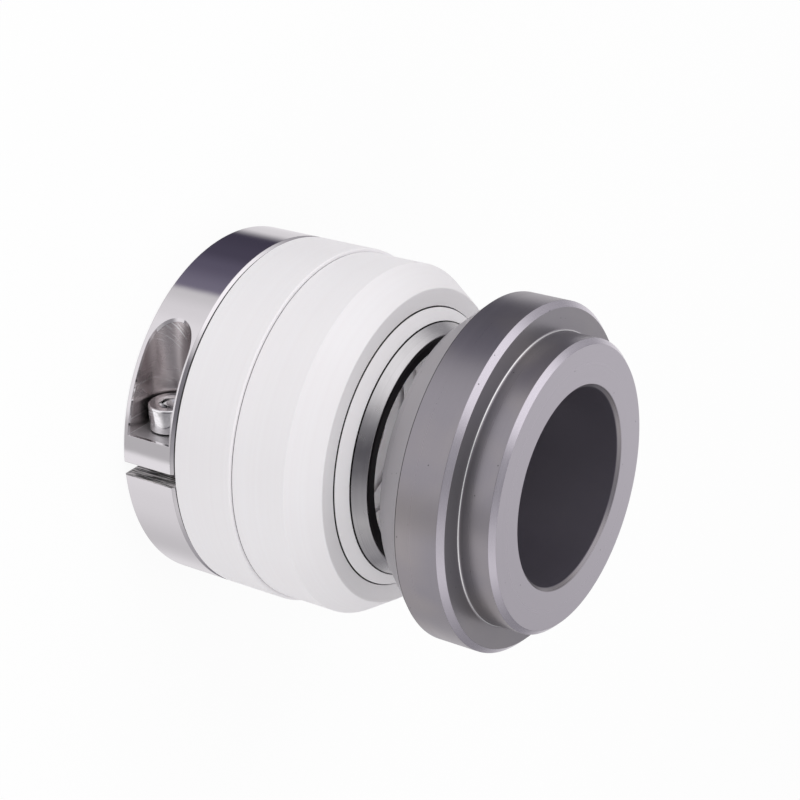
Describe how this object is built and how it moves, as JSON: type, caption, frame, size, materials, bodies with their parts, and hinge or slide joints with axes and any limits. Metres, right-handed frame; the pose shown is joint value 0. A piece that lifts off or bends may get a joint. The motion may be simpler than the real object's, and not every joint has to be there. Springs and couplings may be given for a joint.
{
  "type": "mechanical shaft seal",
  "caption": "Rotary seal head with white sleeve and cover, split clamp ring and carbon face, and the grey stepped stationary seat it runs against.",
  "frame": {"origin": "centre of the clamp ring's back face, on the shaft axis", "axes": "+Z along the shaft axis from the clamp ring to the seat, -Y towards the split of the clamp ring, the clamp screw's axis along X with its head towards -X"},
  "size_m": [0.07, 0.07, 0.0763],
  "materials": {
    "polished_steel": "polished stainless steel, machined matt in the pocket",
    "screw_steel": "bright turned stainless steel",
    "sleeve_ptfe": "satin white fluoroplastic",
    "cover_ptfe": "satin white fluoroplastic",
    "bellows_ptfe": "satin white fluoroplastic",
    "carrier_ptfe": "satin white fluoroplastic",
    "ring_steel": "turned stainless steel",
    "spring_steel": "drawn stainless wire",
    "holder_steel": "fine turned stainless steel",
    "carbon": "lapped carbon graphite",
    "silicon_carbide": "satin ground silicon carbide"
  },
  "bodies": {
    "drive_unit": {"clamp_ring": "polished_steel", "clamp_screw": "screw_steel", "outer_sleeve": "sleeve_ptfe", "head_cover": "cover_ptfe", "spring_seat": "ring_steel", "drive_pin_1": "ring_steel", "drive_pin_2": "ring_steel", "drive_pin_3": "ring_steel", "drive_pin_4": "ring_steel", "spring_1": "spring_steel", "spring_2": "spring_steel", "spring_3": "spring_steel", "spring_4": "spring_steel", "spring_5": "spring_steel", "spring_6": "spring_steel", "spring_7": "spring_steel", "spring_8": "spring_steel", "bellows": "bellows_ptfe"},
    "face_unit": {"push_ring": "ring_steel", "face_carrier": "carrier_ptfe", "face_holder": "holder_steel", "carbon_face": "carbon"},
    "seat": {"stationary_seat": "silicon_carbide"}
  },
  "joints": [
    {"name": "face_slide", "type": "slide", "parent": "drive_unit", "child": "face_unit", "axis": [0, 0, 1], "range_m": [-0.003, 0], "stiffness_N_per_m": 9000, "springref_m": 0.001, "deforming": ["spring_1", "spring_2", "spring_3", "spring_4", "spring_5", "spring_6", "spring_7", "spring_8", "bellows"]},
    {"name": "seat_spin", "type": "hinge", "parent": "drive_unit", "child": "seat", "pos_m": [0, 0, 0.0645], "axis": [0, 0, 1], "continuous": true}
  ]
}
